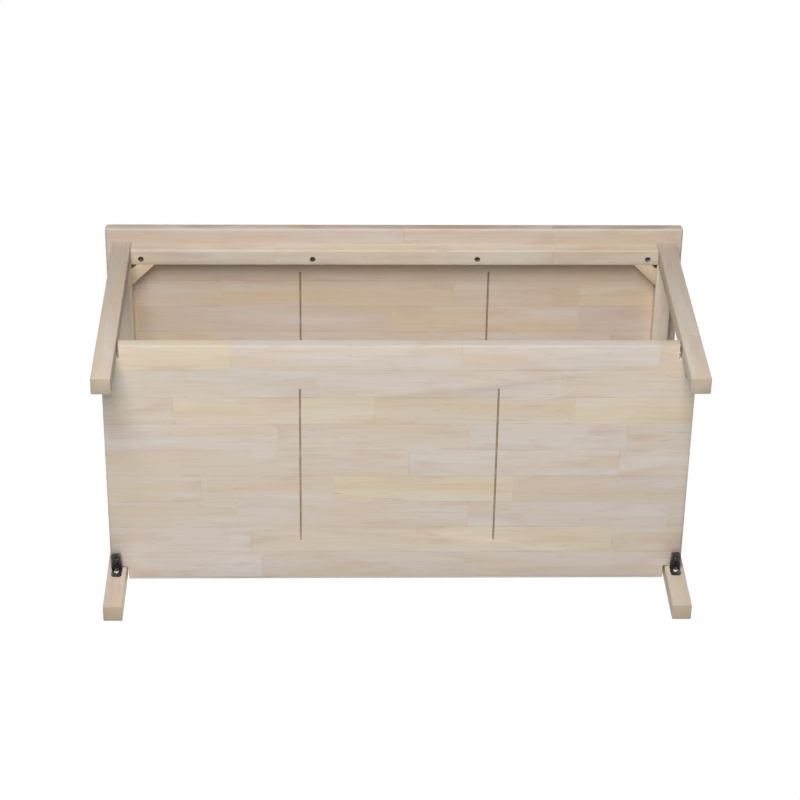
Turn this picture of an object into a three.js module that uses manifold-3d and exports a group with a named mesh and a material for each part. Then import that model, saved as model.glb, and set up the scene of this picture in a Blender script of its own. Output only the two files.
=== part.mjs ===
// Storage bench in plain rubberwood: a glued seat board on four posts, a frame of screwed rails
// with corner blocks under it, and a notched storage shelf held by steel corner braces.
// Millimetres, +Z up. The origin is on the floor, under the middle of the seat.
// +X runs along the bench, -Y is its front.

import * as THREE from 'three';
import { mergeVertices } from 'three/addons/utils/BufferGeometryUtils.js';
import Module from 'manifold-3d';

// Overall sizes.
const SEAT_LENGTH = 914;
const SEAT_DEPTH = 457;
const BENCH_HEIGHT = 457;

// Seat board.
const SEAT_THICKNESS = 20;
const SEAT_END_OVERHANG = 12;
const SEAT_FRONT_OVERHANG = 22;
const SEAT_REAR_OVERHANG = 14;
const SEAT_CORNER_RADIUS = 5;
const SEAT_EASE = 3;

// Legs.
const LEG_WIDTH = 29;
const LEG_DEPTH = 26;
const LEG_CORNER_RADIUS = 2;
const LEG_END_EASE = 1;

// Rails, laid flat under the seat.
const RAIL_WIDTH = 25;
const RAIL_HEIGHT = 23;
const RAIL_SETBACK = 4;
const RAIL_EASE = 2.5;

// Corner blocks: the length along each rail, the point cut off, and the flat on each tip.
const BLOCK_LEG = 36;
const BLOCK_POINT_CUT = 10;
const BLOCK_TIP_FLAT = 1.5;

// Shelf board.
const SHELF_UNDERSIDE = 105;
const SHELF_THICKNESS = 20;
const SHELF_SETBACK = 5;
const SHELF_EASE = 2;
const NOTCH_SIDE_CLEARANCE = 3;
const NOTCH_END_CLEARANCE = 1;

// Stopped saw kerfs in the undersides of both boards.
const KERF_WIDTH = 3;
const KERF_DEPTH = 5;
const SEAT_KERF_MARGIN = 75;
const SHELF_KERF_MARGIN = 72;
const KERF_BLADE_RADIUS = 60;
const SEAT_KERF_SPACING = 300;
const SHELF_KERF_SPACING = 295;

// Corner braces that carry the shelf.
const BRACE_WIDTH = 16;
const BRACE_LEG_FLANGE = 25;
const BRACE_SHELF_FLANGE = 30;
const BRACE_THICKNESS = 2;
const BRACE_BEND_RADIUS = 1.5;
const BRACE_END_RADIUS = 5;
const BRACE_LEG_HOLE = 15;
const BRACE_SHELF_HOLE = 19;

// Wood screws. A pan head sits under the shank, and the tip is a cone.
const SEAT_SCREW = { shank: 4.2, length: 28, head: 8, headHeight: 2.8, tip: 5 };
const BRACE_SCREW = { shank: 3.5, length: 15, head: 7, headHeight: 2.2, tip: 4 };
const COUNTERBORE_DIAMETER = 9;
const COUNTERBORE_DEPTH = 9;
const SCREW_FROM_RAIL_FACE = 15.5;
const LONG_RAIL_SCREW_MARGIN = 16;
const LONG_RAIL_INNER_SPACING = 260;
const RECESS_SPAN = 3.6;
const RECESS_SLOT = 0.9;
const RECESS_DEPTH = 1.2;

// Dowels between rail ends and legs.
const DOWEL_DIAMETER = 6;
const DOWEL_IN_LEG = 8;
const DOWEL_IN_RAIL = 12;
const DOWEL_CHAMFER = 0.8;
const DOWEL_FROM_RAIL_FACE = 12.5;

// Clearances.
const GLUE_LINE = 0.1;
const HOLE_CLEARANCE = 0.3;
const HEAD_GAP = 0.3;

// Facets.
const CORNER_SEGMENTS = 2;
const ROUND_SEGMENTS = 16;
const ARC_SEGMENTS = 6;
const MERGE_TOLERANCE = 1e-4;
const OVERCUT = 1;

// Places worked out from the sizes above.
const seatUnderside = BENCH_HEIGHT - SEAT_THICKNESS;
const frameHalfX = SEAT_LENGTH / 2 - SEAT_END_OVERHANG;
const frameHalfY = (SEAT_DEPTH - SEAT_FRONT_OVERHANG - SEAT_REAR_OVERHANG) / 2;
const frameMiddleY = (SEAT_FRONT_OVERHANG - SEAT_REAR_OVERHANG) / 2;
const legInnerX = frameHalfX - LEG_WIDTH;
const legInnerY = frameHalfY - LEG_DEPTH;
const legHeight = seatUnderside - GLUE_LINE;
const railTop = seatUnderside - GLUE_LINE;
const railInnerX = frameHalfX - RAIL_SETBACK - RAIL_WIDTH;
const railInnerY = frameHalfY - RAIL_SETBACK - RAIL_WIDTH;
const railOuterY = -RAIL_WIDTH / 2;
const longRailLength = 2 * (legInnerX - GLUE_LINE);
const shortRailLength = 2 * (legInnerY - GLUE_LINE);
const braceX = frameHalfX - LEG_WIDTH / 2;
const braceTop = SHELF_UNDERSIDE - GLUE_LINE;
const dowelDepthUnderTop = (RAIL_HEIGHT - COUNTERBORE_DEPTH) / 2;
const screwFromRailMiddle = SCREW_FROM_RAIL_FACE - RAIL_WIDTH / 2;
const dowelFromRailMiddle = DOWEL_FROM_RAIL_FACE - RAIL_WIDTH / 2;

const LONG_SCREWS = [
  -longRailLength / 2 + LONG_RAIL_SCREW_MARGIN,
  -LONG_RAIL_INNER_SPACING / 2,
  LONG_RAIL_INNER_SPACING / 2,
  longRailLength / 2 - LONG_RAIL_SCREW_MARGIN,
];
const SHORT_SCREWS = [0];

// Each rail is modelled along X with its outer face to -Y, then turned about Z.
const RAILS = [
  { name: 'front', length: longRailLength, turn: 0, middle: [0, -1], screws: LONG_SCREWS },
  { name: 'right', length: shortRailLength, turn: Math.PI / 2, middle: [1, 0], screws: SHORT_SCREWS },
  { name: 'rear', length: longRailLength, turn: Math.PI, middle: [0, 1], screws: LONG_SCREWS },
  { name: 'left', length: shortRailLength, turn: -Math.PI / 2, middle: [-1, 0], screws: SHORT_SCREWS },
];

const CORNERS = [
  { name: 'front_left', sx: -1, sy: -1 },
  { name: 'front_right', sx: 1, sy: -1 },
  { name: 'rear_left', sx: -1, sy: 1 },
  { name: 'rear_right', sx: 1, sy: 1 },
];

const X_AXIS = new THREE.Vector3(1, 0, 0);
const Y_AXIS = new THREE.Vector3(0, 1, 0);
const Z_AXIS = new THREE.Vector3(0, 0, 1);

const boardWood = { color: 0xd2c6b2, roughness: 0.62, metalness: 0 };
const legWood = { color: 0xcdc2b0, roughness: 0.62, metalness: 0 };
const railWood = { color: 0xcbbda2, roughness: 0.64, metalness: 0 };
const dowelWood = { color: 0xd8c49a, roughness: 0.7, metalness: 0 };
const blackSteel = { color: 0x2a2826, roughness: 0.42, metalness: 0.6 };
const screwSteel = { color: 0x6f6a64, roughness: 0.35, metalness: 0.9 };

const wasm = await Module();
wasm.setup();

/** Makes a manifold solid from a closed three.js geometry. */
function solid(geometry) {
  const bare = geometry.clone();
  bare.deleteAttribute('normal');
  bare.deleteAttribute('uv');
  const merged = mergeVertices(bare, MERGE_TOLERANCE);
  const corners = merged.index.array;
  const triangles = [];
  for (let i = 0; i < corners.length; i += 3) {
    const [a, b, c] = [corners[i], corners[i + 1], corners[i + 2]];
    if (a !== b && b !== c && c !== a) triangles.push(a, b, c);
  }
  return new wasm.Manifold(new wasm.Mesh({
    numProp: 3,
    vertProperties: new Float32Array(merged.attributes.position.array),
    triVerts: new Uint32Array(triangles),
  }));
}

/** Makes a three.js geometry from a manifold solid. */
function surface(body) {
  const mesh = body.getMesh();
  const geometry = new THREE.BufferGeometry();
  geometry.setAttribute('position', new THREE.BufferAttribute(mesh.vertProperties, 3));
  geometry.setIndex(new THREE.BufferAttribute(mesh.triVerts, 1));
  geometry.computeVertexNormals();
  return geometry;
}

/** Cuts every cutter out of a geometry. */
function cut(geometry, cutters) {
  const body = cutters.reduce((rest, cutter) => rest.subtract(solid(cutter)), solid(geometry));
  return surface(body);
}

/** A named mesh at a place. */
function piece(name, geometry, finish, [x, y, z]) {
  const mesh = new THREE.Mesh(geometry, new THREE.MeshStandardMaterial(finish));
  mesh.name = name;
  mesh.position.set(x, y, z);
  return mesh;
}

/** A cylinder along Z from z = low to z = high. */
function rod(radius, low, high) {
  const geometry = new THREE.CylinderGeometry(radius, radius, high - low, ROUND_SEGMENTS);
  geometry.rotateX(Math.PI / 2);
  geometry.translate(0, 0, (low + high) / 2);
  return geometry;
}

/** Turns a geometry's own x, y and z directions to the three that are given. */
function aim(geometry, x, y, z) {
  return geometry.applyMatrix4(new THREE.Matrix4().makeBasis(x, y, z));
}

/** A rectangle centred on the origin with rounded corners. */
function roundedRectangle(width, height, radius) {
  const [w, h] = [width / 2 - radius, height / 2 - radius];
  const shape = new THREE.Shape();
  shape.absarc(w, h, radius, 0, Math.PI / 2);
  shape.absarc(-w, h, radius, Math.PI / 2, Math.PI);
  shape.absarc(-w, -h, radius, Math.PI, 1.5 * Math.PI);
  shape.absarc(w, -h, radius, 1.5 * Math.PI, 2 * Math.PI);
  shape.closePath();
  return shape;
}

/** A rectangle centred on the origin with a square notch in each corner. */
function notchedRectangle(halfX, halfY, innerX, innerY) {
  const quarter = [[halfX, innerY], [innerX, innerY], [innerX, halfY]];
  const mirrored = quarter.map(([x, y]) => [-x, y]).reverse();
  const half = [...quarter, ...mirrored];
  const otherHalf = half.map(([x, y]) => [x, -y]).reverse();
  return new THREE.Shape([...half, ...otherHalf].map(([x, y]) => new THREE.Vector2(x, y)));
}

/** A board with eased edges from z = 0 up. Its outline is drawn smaller by the ease. */
function easedBoard(outline, thickness, ease) {
  const geometry = new THREE.ExtrudeGeometry(outline, {
    depth: thickness - 2 * ease,
    bevelThickness: ease,
    bevelSize: ease,
    bevelSegments: CORNER_SEGMENTS,
    curveSegments: CORNER_SEGMENTS,
  });
  return geometry.translate(0, 0, ease);
}

/** The stopped kerf that a round blade leaves when it is lowered, run along Y and lifted. */
function kerfCutter(length, x) {
  const runOut = Math.sqrt(KERF_BLADE_RADIUS ** 2 - (KERF_BLADE_RADIUS - KERF_DEPTH) ** 2);
  const sweep = Math.asin(runOut / KERF_BLADE_RADIUS);
  const centreY = length / 2 - runOut;
  const centreZ = KERF_DEPTH - KERF_BLADE_RADIUS;
  const profile = new THREE.Shape();
  profile.moveTo(length / 2, -OVERCUT);
  profile.absarc(centreY, centreZ, KERF_BLADE_RADIUS, Math.PI / 2 - sweep, Math.PI / 2);
  profile.absarc(-centreY, centreZ, KERF_BLADE_RADIUS, Math.PI / 2, Math.PI / 2 + sweep);
  profile.lineTo(-length / 2, -OVERCUT);
  profile.closePath();
  const geometry = new THREE.ExtrudeGeometry(profile, {
    depth: KERF_WIDTH,
    bevelEnabled: false,
    curveSegments: ARC_SEGMENTS,
  });
  aim(geometry, Y_AXIS, Z_AXIS, X_AXIS);
  return geometry.translate(x - KERF_WIDTH / 2, 0, 0);
}

/** A pan-head wood screw along Z: the head's seat is at z = 0 and the shank points up. */
function woodScrew({ shank, length, head, headHeight, tip }) {
  const dome = headHeight * 0.4;
  const profile = [
    [0, -headHeight],
    [head * 0.3, -headHeight],
    [head * 0.45, -dome],
    [head / 2, -dome / 2],
    [head / 2, 0],
    [shank / 2, 0],
    [shank / 2, length - tip],
    [0, length],
  ];
  const turned = new THREE.LatheGeometry(
    profile.map(([radius, z]) => new THREE.Vector2(radius, z)),
    ROUND_SEGMENTS,
  );
  turned.rotateX(Math.PI / 2);
  const slots = [[RECESS_SPAN, RECESS_SLOT], [RECESS_SLOT, RECESS_SPAN]].map(([x, y]) => {
    const slot = new THREE.BoxGeometry(x, y, RECESS_DEPTH + OVERCUT);
    return slot.translate(0, 0, -headHeight + (RECESS_DEPTH - OVERCUT) / 2);
  });
  return cut(turned, slots);
}

/** The blind hole that a screw's shank needs above its head, from z = low. */
function shankHole({ shank, length }, low) {
  return rod(shank / 2 + HOLE_CLEARANCE, low, length + HOLE_CLEARANCE);
}

/** Where a rail's middle is, at its top face. */
function railPlace({ middle: [mx, my] }) {
  return [mx * (railInnerX + RAIL_WIDTH / 2), my * (railInnerY + RAIL_WIDTH / 2), railTop];
}

/** Where each of a rail's screws stands on the seat underside. */
function screwPlaces(rail) {
  const [x, y] = railPlace(rail);
  return rail.screws.map((along) => {
    const offset = new THREE.Vector3(along, screwFromRailMiddle, 0).applyAxisAngle(Z_AXIS, rail.turn);
    return [x + offset.x, y + offset.y];
  });
}

/** The seat board, with its kerfs and a pilot hole for each rail screw. */
function seatBoard() {
  const outline = roundedRectangle(
    SEAT_LENGTH - 2 * SEAT_EASE,
    SEAT_DEPTH - 2 * SEAT_EASE,
    SEAT_CORNER_RADIUS - SEAT_EASE,
  );
  const kerfs = [-1, 1].map((side) => (
    kerfCutter(SEAT_DEPTH - 2 * SEAT_KERF_MARGIN, side * SEAT_KERF_SPACING / 2)));
  const pilotTop = SEAT_SCREW.length + COUNTERBORE_DEPTH - RAIL_HEIGHT + HOLE_CLEARANCE;
  const pilots = RAILS.flatMap(screwPlaces).map(([x, y]) => (
    rod(SEAT_SCREW.shank / 2 + HOLE_CLEARANCE, -OVERCUT, pilotTop)
      .translate(x, y + frameMiddleY, 0)));
  const board = easedBoard(outline, SEAT_THICKNESS, SEAT_EASE);
  return piece('seat_board', cut(board, [...kerfs, ...pilots]), boardWood, [0, 0, seatUnderside]);
}

/** The shelf board, notched round the legs, with its kerfs and a pilot hole for each brace. */
function shelfBoard() {
  const outline = notchedRectangle(
    frameHalfX - SHELF_SETBACK - SHELF_EASE,
    frameHalfY - SHELF_SETBACK - SHELF_EASE,
    legInnerX - NOTCH_SIDE_CLEARANCE - SHELF_EASE,
    legInnerY - NOTCH_END_CLEARANCE - SHELF_EASE,
  );
  const kerfLength = 2 * (frameHalfY - SHELF_SETBACK - SHELF_KERF_MARGIN);
  const kerfs = [-1, 1].map((side) => kerfCutter(kerfLength, side * SHELF_KERF_SPACING / 2));
  const pilots = CORNERS.map(({ sx, sy }) => (
    shankHole(BRACE_SCREW, -OVERCUT)
      .translate(sx * braceX, sy * (legInnerY - BRACE_SHELF_HOLE), -BRACE_THICKNESS)));
  const board = easedBoard(outline, SHELF_THICKNESS, SHELF_EASE);
  return piece('shelf_board', cut(board, [...kerfs, ...pilots]), boardWood, [0, 0, SHELF_UNDERSIDE]);
}

/** One leg, standing on z = 0, with holes for two dowels and the brace screw. */
function leg({ name, sx, sy }) {
  const outline = roundedRectangle(
    LEG_WIDTH - 2 * LEG_END_EASE,
    LEG_DEPTH - 2 * LEG_END_EASE,
    LEG_CORNER_RADIUS - LEG_END_EASE,
  );
  const place = [sx * (frameHalfX - LEG_WIDTH / 2), sy * (frameHalfY - LEG_DEPTH / 2), 0];
  const dowelX = sx * (frameHalfX - RAIL_SETBACK - DOWEL_FROM_RAIL_FACE) - place[0];
  const dowelY = sy * (frameHalfY - RAIL_SETBACK - DOWEL_FROM_RAIL_FACE) - place[1];
  const dowelZ = railTop - dowelDepthUnderTop;
  const dowelRadius = DOWEL_DIAMETER / 2 + HOLE_CLEARANCE;
  const dowelBottom = DOWEL_IN_LEG + HOLE_CLEARANCE;
  const towardsX = new THREE.Vector3(sx, 0, 0);
  const towardsY = new THREE.Vector3(0, sy, 0);
  const longHole = rod(dowelRadius, -OVERCUT, dowelBottom);
  aim(longHole, Y_AXIS, Z_AXIS.clone().multiplyScalar(sx), towardsX);
  longHole.translate(-sx * LEG_WIDTH / 2, dowelY, dowelZ);
  const shortHole = rod(dowelRadius, -OVERCUT, dowelBottom);
  aim(shortHole, Z_AXIS.clone().multiplyScalar(sy), X_AXIS, towardsY);
  shortHole.translate(dowelX, -sy * LEG_DEPTH / 2, dowelZ);
  const braceHole = shankHole(BRACE_SCREW, -OVERCUT);
  aim(braceHole, Z_AXIS.clone().multiplyScalar(sy), X_AXIS, towardsY);
  braceHole.translate(0, -sy * (LEG_DEPTH / 2 + BRACE_THICKNESS), braceTop - BRACE_LEG_HOLE);
  const post = easedBoard(outline, legHeight, LEG_END_EASE);
  return piece(`leg_${name}`, cut(post, [longHole, shortHole, braceHole]), legWood, place);
}

/** The notches in a long rail's ends for end rails that reach in past the legs, if they do. */
function endRailNotches(spec) {
  const [along, across] = [legInnerX - railInnerX, legInnerY - railInnerY];
  if (spec.middle[0] !== 0 || along <= 0 || across <= 0) return [];
  const [length, width] = [along + OVERCUT, across + OVERCUT];
  return [-1, 1].map((end) => (
    new THREE.BoxGeometry(length, width, RAIL_HEIGHT + 2 * OVERCUT).translate(
      end * (railInnerX - GLUE_LINE + length / 2),
      RAIL_WIDTH / 2 - across + width / 2,
      -RAIL_HEIGHT / 2,
    )));
}

/** One rail, with its eased lower edge, screw holes and dowel holes. */
function rail(spec) {
  const section = new THREE.Shape();
  section.moveTo(-railOuterY, 0);
  section.lineTo(railOuterY, 0);
  section.lineTo(railOuterY, RAIL_EASE - RAIL_HEIGHT);
  section.absarc(railOuterY + RAIL_EASE, RAIL_EASE - RAIL_HEIGHT, RAIL_EASE, Math.PI, 1.5 * Math.PI);
  section.lineTo(-railOuterY, -RAIL_HEIGHT);
  section.closePath();
  const bar = new THREE.ExtrudeGeometry(section, {
    depth: spec.length,
    bevelEnabled: false,
    curveSegments: ARC_SEGMENTS,
  });
  aim(bar, Y_AXIS, Z_AXIS, X_AXIS).translate(-spec.length / 2, 0, 0);
  const screwHoles = spec.screws.flatMap((along) => [
    rod(SEAT_SCREW.shank / 2 + HOLE_CLEARANCE, -RAIL_HEIGHT - OVERCUT, OVERCUT)
      .translate(along, screwFromRailMiddle, 0),
    rod(COUNTERBORE_DIAMETER / 2, -RAIL_HEIGHT - OVERCUT, COUNTERBORE_DEPTH - RAIL_HEIGHT)
      .translate(along, screwFromRailMiddle, 0),
  ]);
  const dowelHoles = [-1, 1].map((end) => {
    const hole = rod(DOWEL_DIAMETER / 2 + HOLE_CLEARANCE, -OVERCUT, DOWEL_IN_RAIL + HOLE_CLEARANCE);
    aim(hole, Y_AXIS, Z_AXIS.clone().multiplyScalar(-end), X_AXIS.clone().multiplyScalar(-end));
    return hole.translate(end * spec.length / 2, dowelFromRailMiddle, -dowelDepthUnderTop);
  });
  const cutters = [...screwHoles, ...dowelHoles, ...endRailNotches(spec)];
  const mesh = piece(`rail_${spec.name}`, cut(bar, cutters), railWood, railPlace(spec));
  mesh.rotation.z = spec.turn;
  return mesh;
}

/** One corner block, set against the inner faces of two rails. */
function cornerBlock({ name, sx, sy }) {
  const shape = new THREE.Shape([
    [BLOCK_POINT_CUT, 0],
    [BLOCK_LEG, 0],
    [BLOCK_LEG, BLOCK_TIP_FLAT],
    [BLOCK_TIP_FLAT, BLOCK_LEG],
    [0, BLOCK_LEG],
    [0, BLOCK_POINT_CUT],
  ].map(([x, y]) => new THREE.Vector2(-sx * x, -sy * y)));
  const geometry = new THREE.ExtrudeGeometry(shape, { depth: RAIL_HEIGHT, bevelEnabled: false });
  const place = [
    sx * (railInnerX - GLUE_LINE),
    sy * (railInnerY - GLUE_LINE),
    railTop - RAIL_HEIGHT,
  ];
  return piece(`corner_block_${name}`, geometry, railWood, place);
}

/** The outline of one brace flange, far end rounded, as a bar through the whole brace. */
function flangeBar(length) {
  const radius = BRACE_END_RADIUS;
  const [w, far] = [BRACE_WIDTH / 2 - radius, length - radius];
  const shape = new THREE.Shape();
  shape.moveTo(-BRACE_WIDTH / 2, -OVERCUT);
  shape.lineTo(BRACE_WIDTH / 2, -OVERCUT);
  shape.absarc(w, far, radius, 0, Math.PI / 2);
  shape.absarc(-w, far, radius, Math.PI / 2, Math.PI);
  shape.closePath();
  const depth = Math.max(BRACE_LEG_FLANGE, BRACE_SHELF_FLANGE) + 2 * OVERCUT;
  const bar = new THREE.ExtrudeGeometry(shape, { depth, bevelEnabled: false, curveSegments: ARC_SEGMENTS });
  return bar.translate(0, 0, -OVERCUT);
}

/** A brace: one flange along +Y under the shelf, one down -Z on a leg face at y = 0. */
function braceGeometry() {
  const outer = BRACE_BEND_RADIUS + BRACE_THICKNESS;
  const shape = new THREE.Shape();
  shape.moveTo(BRACE_SHELF_FLANGE, 0);
  shape.absarc(outer, -outer, outer, Math.PI / 2, Math.PI);
  shape.lineTo(0, -BRACE_LEG_FLANGE);
  shape.lineTo(BRACE_THICKNESS, -BRACE_LEG_FLANGE);
  shape.absarc(outer, -outer, BRACE_BEND_RADIUS, Math.PI, Math.PI / 2, true);
  shape.lineTo(BRACE_SHELF_FLANGE, -BRACE_THICKNESS);
  shape.closePath();
  const strip = new THREE.ExtrudeGeometry(shape, {
    depth: BRACE_WIDTH,
    bevelEnabled: false,
    curveSegments: ARC_SEGMENTS,
  });
  aim(strip, Y_AXIS, Z_AXIS, X_AXIS).translate(-BRACE_WIDTH / 2, 0, 0);
  const downwards = Z_AXIS.clone().negate();
  const flatBar = aim(flangeBar(BRACE_SHELF_FLANGE), X_AXIS.clone().negate(), Y_AXIS, downwards);
  const uprightBar = aim(flangeBar(BRACE_LEG_FLANGE), X_AXIS, downwards, Y_AXIS);
  const holeRadius = BRACE_SCREW.shank / 2 + HOLE_CLEARANCE;
  const flatHole = rod(holeRadius, -outer, outer).translate(0, BRACE_SHELF_HOLE, 0);
  const uprightHole = rod(holeRadius, -outer, outer).rotateX(Math.PI / 2);
  uprightHole.translate(0, 0, -BRACE_LEG_HOLE);
  const body = solid(strip).intersect(solid(flatBar)).intersect(solid(uprightBar));
  return surface(body.subtract(solid(flatHole)).subtract(solid(uprightHole)));
}

/** The brace at one corner with its two screws, as a group turned to face into the bench. */
function braceSet({ name, sx, sy }) {
  const group = new THREE.Group();
  group.position.set(sx * braceX, sy * (legInnerY - GLUE_LINE), braceTop);
  group.rotation.z = sy > 0 ? Math.PI : 0;
  const headFace = BRACE_THICKNESS + HEAD_GAP;
  group.add(piece(`shelf_brace_${name}`, braceGeometry(), blackSteel, [0, 0, 0]));
  group.add(piece(
    `brace_screw_shelf_${name}`, woodScrew(BRACE_SCREW), screwSteel,
    [0, BRACE_SHELF_HOLE, -headFace]));
  const legScrew = piece(
    `brace_screw_leg_${name}`, woodScrew(BRACE_SCREW), screwSteel,
    [0, headFace, -BRACE_LEG_HOLE]);
  legScrew.rotation.x = Math.PI / 2;
  group.add(legScrew);
  return group;
}

/** The screws that hold the seat down on one rail. */
function seatScrews(spec) {
  const headSeat = railTop - RAIL_HEIGHT + COUNTERBORE_DEPTH - GLUE_LINE;
  return screwPlaces(spec).map(([x, y], i) => (
    piece(`seat_screw_${spec.name}_${i + 1}`, woodScrew(SEAT_SCREW), screwSteel, [x, y, headSeat])));
}

/** The two dowels in one rail's ends. */
function railDowels(spec) {
  const radius = DOWEL_DIAMETER / 2;
  const half = (DOWEL_IN_LEG + DOWEL_IN_RAIL) / 2;
  const profile = [
    [0, -half],
    [radius - DOWEL_CHAMFER, -half],
    [radius, DOWEL_CHAMFER - half],
    [radius, half - DOWEL_CHAMFER],
    [radius - DOWEL_CHAMFER, half],
    [0, half],
  ].map(([r, along]) => new THREE.Vector2(r, along));
  const shift = (DOWEL_IN_LEG - DOWEL_IN_RAIL) / 2;
  const [x, y, z] = railPlace(spec);
  return [-1, 1].map((end) => {
    const along = new THREE.Vector3(end * (spec.length / 2 + shift), dowelFromRailMiddle, 0);
    along.applyAxisAngle(Z_AXIS, spec.turn);
    const dowel = piece(
      `dowel_rail_${spec.name}_${end < 0 ? 'a' : 'b'}`,
      new THREE.LatheGeometry(profile, ROUND_SEGMENTS), dowelWood,
      [x + along.x, y + along.y, z - dowelDepthUnderTop]);
    dowel.rotation.z = spec.turn + Math.PI / 2;
    return dowel;
  });
}

const frame = new THREE.Group();
frame.position.y = frameMiddleY;
frame.add(shelfBoard());
for (const corner of CORNERS) frame.add(leg(corner), cornerBlock(corner), braceSet(corner));
for (const spec of RAILS) frame.add(rail(spec), ...seatScrews(spec), ...railDowels(spec));

const bench = new THREE.Group();
bench.add(seatBoard(), frame);

export default bench;
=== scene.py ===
"""A storage bench in bare rubberwood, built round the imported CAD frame.

The boards are glued up from finger-jointed staves, the legs and rails are single sticks, and
small black steel braces hold the shelf. Every length is in metres unless a name says mm.
"""

import logging
import math
from dataclasses import dataclass, field, replace
from enum import Enum
from typing import Callable

import bpy
from bpy.types import Material, MeshPolygon, Node, NodeSocket, NodeTree, Object
from mathutils import Matrix, Quaternion, Vector


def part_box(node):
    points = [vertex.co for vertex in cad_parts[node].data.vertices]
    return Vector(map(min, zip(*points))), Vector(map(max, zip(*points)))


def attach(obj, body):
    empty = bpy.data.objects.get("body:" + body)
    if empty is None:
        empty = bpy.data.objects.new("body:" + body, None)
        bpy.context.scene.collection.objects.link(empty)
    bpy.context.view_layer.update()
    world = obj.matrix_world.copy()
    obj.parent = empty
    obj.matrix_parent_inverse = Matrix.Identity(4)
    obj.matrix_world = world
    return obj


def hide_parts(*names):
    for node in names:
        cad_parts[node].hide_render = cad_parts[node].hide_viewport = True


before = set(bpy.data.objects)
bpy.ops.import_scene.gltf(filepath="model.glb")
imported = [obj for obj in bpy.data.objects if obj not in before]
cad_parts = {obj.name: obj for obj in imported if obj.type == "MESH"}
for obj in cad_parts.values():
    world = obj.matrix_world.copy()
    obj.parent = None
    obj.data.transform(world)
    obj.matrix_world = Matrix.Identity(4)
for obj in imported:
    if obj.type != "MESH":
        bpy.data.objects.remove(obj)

MM = 0.001
NEAR = 1e-6  # two places this close are the same
PAST = 0.01  # how far a cutter sticks out of what it cuts
FIT = 0.3 * MM  # how much deeper a hole is than what sits in it
SMOOTH = math.radians(32)  # a bend up to this much looks round
UPWARD = 0.9  # the normal of a face that looks up has at least this much Z
HOLE_SIDES = 24
BODY = "root"
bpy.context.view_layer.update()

log = logging.getLogger("storage_bench")


class Grain(Enum):
    """The way the wood's fibres run, as the axes along, across and through the stick."""

    ALONG_X = ("X", "Y", "Z")
    ALONG_Y = ("Y", "X", "Z")
    ALONG_Z = ("Z", "X", "Y")


class Corner(Enum):
    """The four corners of the bench: the part's name, and which side of the middle it is."""

    FRONT_LEFT = ("front_left", -1, -1)
    FRONT_RIGHT = ("front_right", 1, -1)
    REAR_LEFT = ("rear_left", -1, 1)
    REAR_RIGHT = ("rear_right", 1, 1)

    @property
    def label(self) -> str:
        """The corner's name in the CAD nodes."""
        return self.value[0]

    @property
    def side(self) -> tuple[int, int]:
        """The signs of the corner's X and Y."""
        return self.value[1], self.value[2]


class RailSide(Enum):
    """The four rails under the seat: the part's name and its outward direction."""

    FRONT = ("front", (0, -1))
    RIGHT = ("right", (1, 0))
    REAR = ("rear", (0, 1))
    LEFT = ("left", (-1, 0))

    @property
    def label(self) -> str:
        """The rail's name in the CAD nodes."""
        return self.value[0]

    @property
    def outward(self) -> Vector:
        """The direction that the rail's outer face looks in."""
        return Vector((*self.value[1], 0))

    @property
    def grain(self) -> Grain:
        """Wood runs along the rail."""
        return Grain.ALONG_Y if self.value[1][0] else Grain.ALONG_X


def linear(code: str) -> tuple[float, float, float, float]:
    """Turns an sRGB hex colour into the linear colour that a shader takes.

    Args:
        code: Six hex digits.

    Returns:
        Red, green, blue and an alpha of one.
    """
    parts = [int(code[i:i + 2], 16) / 255 for i in (0, 2, 4)]
    bent = [c / 12.92 if c <= 0.04045 else ((c + 0.055) / 1.055) ** 2.4 for c in parts]
    return (*bent, 1.0)


def add_node(tree: NodeTree, kind: str, inputs: dict | None = None, **settings: object) -> Node:
    """Adds a node with its settings, its values and its links.

    Args:
        tree: The node tree to add to.
        kind: Blender's name of the node type, without its ShaderNode.
        inputs: What goes into each socket, by name or index: a value, or a socket to link.
        settings: The node's own properties.

    Returns:
        The new node.
    """
    node = tree.nodes.new("ShaderNode" + kind)
    for key, value in settings.items():
        setattr(node, key, value)
    for key, value in (inputs or {}).items():
        if isinstance(value, NodeSocket):
            tree.links.new(value, node.inputs[key])
        else:
            node.inputs[key].default_value = value
    return node


def new_material(name: str) -> tuple[Material, NodeTree]:
    """Starts an empty node material.

    Args:
        name: The material's name.

    Returns:
        The material and its node tree.
    """
    material = bpy.data.materials.new(name)
    material.use_nodes = True
    material.node_tree.nodes.clear()
    return material, material.node_tree


def maths(tree: NodeTree, operation: str, *values: float | NodeSocket) -> NodeSocket:
    """Works out one sum, from numbers or from the sockets that give them."""
    return add_node(tree, "Math", dict(enumerate(values)), operation=operation).outputs[0]


def remap(tree: NodeTree, value: NodeSocket, start: float, end: float, low: float = 0.0,
          high: float = 1.0) -> NodeSocket:
    """Turns the range from start to end into low to high, held at both ends."""
    return add_node(tree, "MapRange", {
        "Value": value, "From Min": start, "From Max": end, "To Min": low,
        "To Max": high}).outputs[0]


def blend(tree: NodeTree, share: NodeSocket, first: object, second: object) -> NodeSocket:
    """Mixes two colours, or the sockets that give them; share is the second one's part."""
    return add_node(tree, "Mix", {0: share, 6: first, 7: second}, data_type="RGBA").outputs[2]


def mottling(tree: NodeTree, size: float, detail: float) -> NodeSocket:
    """Draws soft round patches, 0 to 1, on Object coordinates."""
    place = add_node(tree, "TexCoord").outputs["Object"]
    return add_node(tree, "TexNoise", {
        "Vector": place, "Scale": 1 / size, "Detail": detail}).outputs[0]


def bumps(tree: NodeTree, height: NodeSocket, strength: float, distance: float) -> NodeSocket:
    """Makes a surface look uneven; distance is what a height of one measures."""
    return add_node(tree, "Bump", {
        "Height": height, "Strength": strength, "Distance": distance}).outputs[0]


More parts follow.
